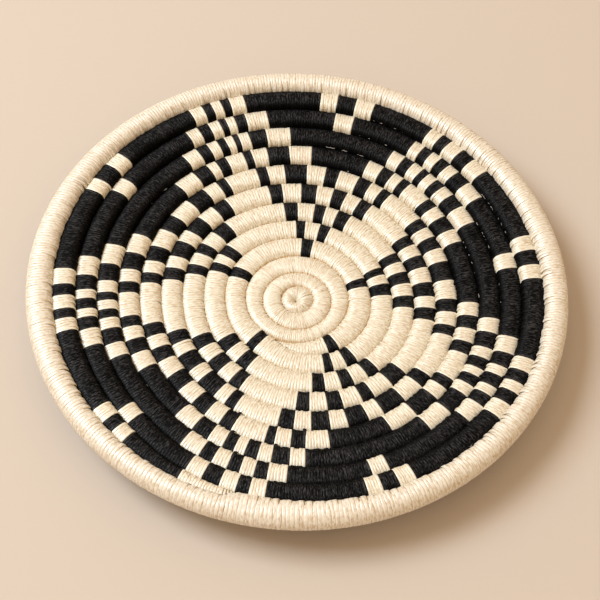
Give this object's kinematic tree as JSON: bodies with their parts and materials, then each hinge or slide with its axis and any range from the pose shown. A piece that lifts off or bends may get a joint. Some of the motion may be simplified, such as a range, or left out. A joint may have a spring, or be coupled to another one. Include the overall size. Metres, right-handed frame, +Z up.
{
  "type": "round storage basket",
  "caption": "Shallow round coiled basket: a thread-wrapped grass coil spirals out from a small medallion to a thicker wrapped rim.",
  "frame": {"origin": "middle of the basket at the level of the table it stands on", "axes": "+Z up; +X to the right and +Y away from the viewer in the picture"},
  "size_m": [0.305, 0.305, 0.0327],
  "materials": {
    "cream_thread": "tightly wrapped cream sisal thread with a soft sheen",
    "black_thread": "tightly wrapped black dyed thread, nearly matte",
    "grass_bundle": "dry grass stems, hidden inside the wrapping"
  },
  "bodies": {
    "root": {"centre_knot": "cream_thread", "medallion_core": "grass_bundle", "medallion_round_1_wrap": "cream_thread", "medallion_round_2_wrap": "cream_thread", "foundation_core": "grass_bundle", "round_1_wrap": "cream_thread", "round_2_wrap": "cream_thread", "round_3_wrap": "cream_thread", "round_4_wrap": "cream_thread", "round_5_wrap": "cream_thread", "round_6_wrap": "black_thread", "round_7_wrap": "black_thread", "round_8_wrap": "black_thread", "round_9_wrap": "black_thread", "tail_wrap": "cream_thread", "rim_core": "grass_bundle", "rim_wrap": "cream_thread"}
  },
  "joints": []
}
